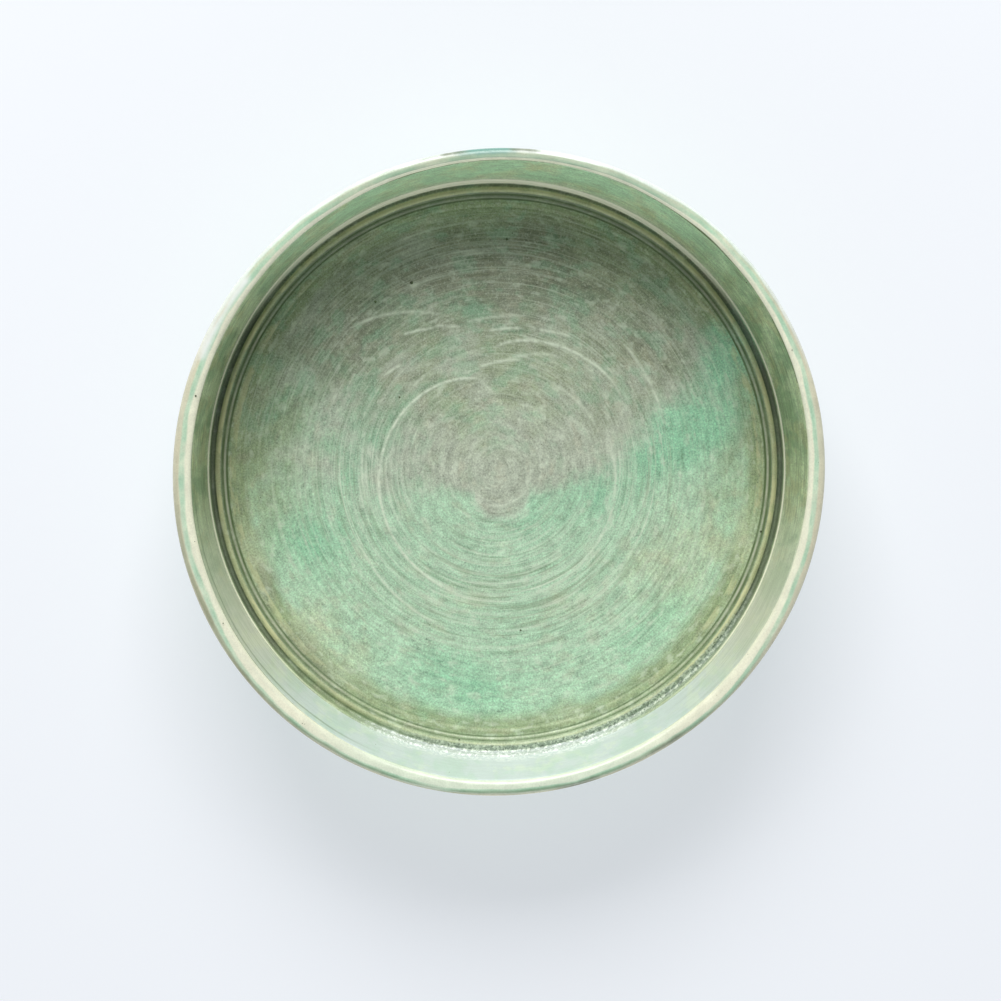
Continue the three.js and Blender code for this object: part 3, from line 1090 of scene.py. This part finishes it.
# The pale patches, which are painted highlight, fade the same way.
LIP_PATCH_FADE = 1.2  # degrees over which a stain dies away past its ends

# Pinholes and iron spots that stand out on the floor: x, y and radius.
FLOOR_SPOTS = (
    (-24.8, 18.3, 0.26),
    (2.5, 58.4, 0.30),
    (67.6, -16.1, 0.30),
    (6.1, -41.4, 0.24),
    (56.6, -43.2, 0.20),
    (-21.7, 47.4, 0.42),
    (-30.9, 42.6, 0.34),
    (-9.7, -69.5, 0.24),
)
SPOTS_ON_LIP = ((-74.4, 19.2, 0.25), (60.5, 47.0, 0.16), (71.8, 30.4, 0.14), (-68.0, -36.6, 0.15))


def vertex_places(mesh):
    """The vertices' places as rows of x, y and z, in metres."""
    places = np.empty(len(mesh.vertices) * 3)
    mesh.vertices.foreach_get("co", places)
    return places.reshape(-1, 3)


def stored(mesh, name):
    """An attribute's number for each vertex."""
    values = np.empty(len(mesh.vertices))
    mesh.attributes[name].data.foreach_get("value", values)
    return values


def soft_patches(patches, x, y):
    """The highest of several soft elliptical patches at each place."""
    value = np.zeros(len(x))
    for px, py, half_length, half_width, heading, amount in patches:
        turn = math.radians(heading)
        ahead = (x - px) * math.cos(turn) + (y - py) * math.sin(turn)
        aside = (y - py) * math.cos(turn) - (x - px) * math.sin(turn)
        away = (ahead / half_length) ** 2 + (aside / half_width) ** 2
        value = np.maximum(value, amount * np.exp(-0.5 * away))
    return value


def below_shore(x, y):
    """1 on the mint's side of the shore and 0 on the grey side. The border is crisp in the middle."""
    shore = SHORE + SHORE_RIGHT[1] * np.clip(x - SHORE_RIGHT[0], 0, None)
    shore = shore + SHORE_LEFT[1] * np.clip(SHORE_LEFT[0] - x, 0, None)
    bay = np.sqrt(np.clip(BAY_RADIUS ** 2 - (x - BAY_MIDDLE) ** 2, 0, None))
    past_crisp = np.clip(np.abs(x - SHORE_CRISP[0]) - SHORE_CRISP[1], 0, None)
    softness = SHORE_SOFTNESS[0] + SHORE_SOFTNESS[1] * past_crisp
    return 1 / (1 + np.exp((y - shore + bay) / softness))


def finger_lines(x, y):
    """How strongly a finger line shows at each place, from 0 to 1."""
    radius = np.hypot(x, y)
    angle = np.degrees(np.arctan2(y, x)) % 360
    raised = np.zeros(len(x))
    for start, end, start_radius, end_radius, swing, strength in FINGER_LINES:
        sweep = (end - start) % 360 if end > start else -((start - end) % 360)
        along = ((angle - start) * np.sign(sweep)) % 360 / abs(sweep)
        share = np.clip(along, 0, 1)
        path = start_radius + (end_radius - start_radius) * share ** swing
        fade = np.clip(share / FADE_IN, 0, 1) * np.clip((1 - share) / FADE_OUT, 0, 1) * (along <= 1)
        line = np.exp(-((radius - path) / FINGER_LINE_WIDTH) ** 2) * fade * strength
        raised = np.maximum(raised, line)
    return raised


def paint_inside(made):
    """Stores the glaze's zones, and raises the finger lines, on the inside coat's mesh."""
    mesh = made.data
    places = vertex_places(mesh)
    x, y, z = (places / MM).T
    radius = np.hypot(x, y)
    on_face = z > floor_height(radius) - GLAZE / 2
    on_floor = on_face & (radius < FLOOR_RADIUS)
    zones = {name: soft_patches(patches, x, y) for name, patches in ZONES.items()}
    zones["mint"] = np.maximum(zones["mint"], below_shore(x, y))
    edge_start, edge_width, edge_amount = OLIVE_EDGE
    at_edge = edge_amount * np.clip((radius - edge_start) / edge_width, 0, 1)
    zones["olive"] = np.maximum(zones["olive"], at_edge)
    for name, value in zones.items():
        store(mesh, name, value)

    raised = finger_lines(x, y) * on_floor
    places[:, 2] += raised * FINGER_LINE_HEIGHT * MM
    mesh.vertices.foreach_set("co", places.ravel())
    bay_edge = np.abs(np.hypot(x - BAY_MIDDLE, y - SHORE) - BAY_RADIUS)
    outline = BAY_OUTLINE[1] * np.exp(-(bay_edge / BAY_OUTLINE[0]) ** 2) * (y < SHORE)
    share = CREST_BASE + (1 - CREST_BASE) * zones["combed"]
    crests = CREST_PALENESS * stored(mesh, "thin") * share
    store(mesh, "thin", np.clip(np.maximum(crests + raised, outline), 0, 1) * on_floor)
    mesh.update()


def paint_rim(made):
    """Stores the lip's stains and painted highlights on the rim coat's mesh."""
    mesh = made.data
    x, y, _ = vertex_places(mesh).T
    heading = np.degrees(np.arctan2(y, x))
    run = stored(mesh, "run") / MM
    for name, stains_and_glints in LIP_STAINS_AND_GLINTS.items():
        value = np.zeros(len(x))
        for start, end, middle, half_width, amount in stains_and_glints:
            beyond = np.maximum(np.maximum(start - heading, heading - end), 0)
            away = (beyond / LIP_PATCH_FADE) ** 2 + ((run - middle) / half_width) ** 2
            value = np.maximum(value, amount * np.exp(-0.5 * away))
        store(mesh, name, value)


turned_clay = make_clay_finish("turned_clay", srgb(196, 160, 122), srgb(160, 122, 88), 21.0)
foot_clay = make_clay_finish("foot_clay", srgb(190, 154, 118), srgb(150, 114, 84), 31.0)
iron = make_iron_finish()

inside = throw("inside_coat", inside_section(), make_inside_finish(), Turns=250,
               Ripple_Height=0.030 * MM, Ripple_Pitch=1.3 * MM, Ripple_Arcs=3.5,
               Swell_Height=0.25 * MM, Swell_Size=0.022, Seed=2.0)
paint_inside(inside)
rim = throw("rim_coat", rim_section(), make_rim_finish(), Turns=300, Swell_Height=0.12 * MM,
            Swell_Size=0.02, Seed=5.0)
paint_rim(rim)
outside = throw("outside_coat", outside_section(), make_outside_finish(), Turns=300,
                Ripple_Height=0.14 * MM, Ripple_Pitch=4.2 * MM, Ripple_Arcs=1.2,
                Swell_Height=0.3 * MM, Swell_Size=0.03, Seed=8.0,
                Edge_Wander=2.4 * MM, Edge_Height=line_height * MM)
clay = throw("thrown_clay", clay_section(), turned_clay, Turns=240, Ripple_Height=0.05 * MM,
             Ripple_Pitch=1.6 * MM, Ripple_Arcs=0.6, Swell_Height=0.1 * MM, Seed=14.0)
foot = throw("turned_foot", foot_section(), foot_clay, Turns=240, Ripple_Height=0.03 * MM,
             Ripple_Pitch=0.9 * MM, Ripple_Arcs=0.6, Swell_Height=0.05 * MM, Seed=17.0)

floor_spots = [(x, y, float(floor_height(math.hypot(x, y))), r) for x, y, r in FLOOR_SPOTS]
lip_spots = [(x, y, lip_top - 0.1, r) for x, y, r in SPOTS_ON_LIP]
inside_specks = speckle("inside_specks", inside, floor_spots, Density=700.0, Radius=0.10 * MM, Seed=5)
rim_specks = speckle("rim_specks", rim, lip_spots, Density=6000.0, Radius=0.09 * MM, Seed=6)
outside_specks = speckle("outside_specks", outside, (), Density=1500.0, Radius=0.13 * MM, Seed=7)

for piece, node, slot in (
    (inside_specks, "inside_glaze", "clay"),
    (rim_specks, "rim_glaze", "clay"),
    (outside_specks, "outside_glaze", "clay"),
    (inside, "inside_glaze", "inside_glaze"),
    (rim, "rim_glaze", "rim_glaze"),
    (outside, "outside_glaze", "outside_glaze"),
    (clay, "clay_body", "clay"),
    (foot, "foot_ring", "foot_clay"),
):
    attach(piece, "root")
    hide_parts(node)


# --- Table, light and camera ----------------------------------------------------------------------

TABLE_HALF = 12.0
VIEW_HEIGHT = 700.0  # the camera's height over the lip, in millimetres
VIEW_WIDTH = 245.42  # what the camera takes in at the lip
VIEW_AIM = (0.14, -6.50)
VIEW_PLACE = (-19.2, 32.6)


def make_table():
    half = TABLE_HALF
    corners = [(-half, -half, 0), (half, -half, 0), (half, half, 0), (-half, half, 0)]
    mesh = bpy.data.meshes.new("table")
    mesh.from_pydata(corners, [], [(0, 1, 2, 3)])
    finish = Finish("pale_table")
    finish.give(finish.shader, {
        "Base Color": (0.42, 0.43, 0.45, 1.0),
        "Roughness": 0.9,
        "Specular IOR Level": 0.1,
        "Emission Color": (0.90, 0.94, 1.0, 1.0),
        "Emission Strength": 0.53,
    })
    mesh.materials.append(finish.material)
    in_scene("table", mesh)


def make_window(name, heading, elevation, distance, width, height, energy, colour):
    """A soft rectangular light that faces the bowl, from a heading counted from +X towards +Y."""
    data = bpy.data.lights.new(name, "AREA")
    data.shape = "RECTANGLE"
    data.size = width
    data.size_y = height
    data.energy = energy
    data.color = colour
    made = in_scene(name, data)
    heading = math.radians(heading)
    elevation = math.radians(elevation)
    level = math.cos(elevation)
    toward = Vector((math.cos(heading) * level, math.sin(heading) * level, math.sin(elevation)))
    made.location = toward * distance
    made.rotation_mode = "QUATERNION"
    made.rotation_quaternion = toward.to_track_quat("Z", "Y")


def make_light():
    make_window("window", 96, 39, 1.25, 0.9, 0.60, 18.2, (1.0, 0.99, 0.97))
    make_window("bounce_card", -90, 15, 1.1, 1.5, 0.4, 8.0, (0.97, 0.99, 1.0))
    world = bpy.data.worlds.new("studio")
    world.use_nodes = True
    background = world.node_tree.nodes["Background"]
    background.inputs[0].default_value = (0.93, 0.96, 1.0, 1.0)
    background.inputs[1].default_value = 0.20
    bpy.context.scene.world = world


def make_camera():
    data = bpy.data.cameras.new("camera")
    data.sensor_width = 36.0
    data.lens = data.sensor_width * VIEW_HEIGHT / VIEW_WIDTH
    made = in_scene("camera", data)
    target = Vector((*VIEW_AIM, lip_top)) * MM
    place = Vector((*VIEW_PLACE, lip_top + VIEW_HEIGHT)) * MM
    back = (place - target).normalized()
    side = Vector((0, 1, 0)).cross(back).normalized()
    turn = Matrix((side, back.cross(side), back)).transposed()
    made.matrix_world = Matrix.Translation(place) @ turn.to_4x4()
    bpy.context.scene.camera = made


make_table()
make_light()
make_camera()
bpy.context.scene.view_settings.view_transform = "Standard"
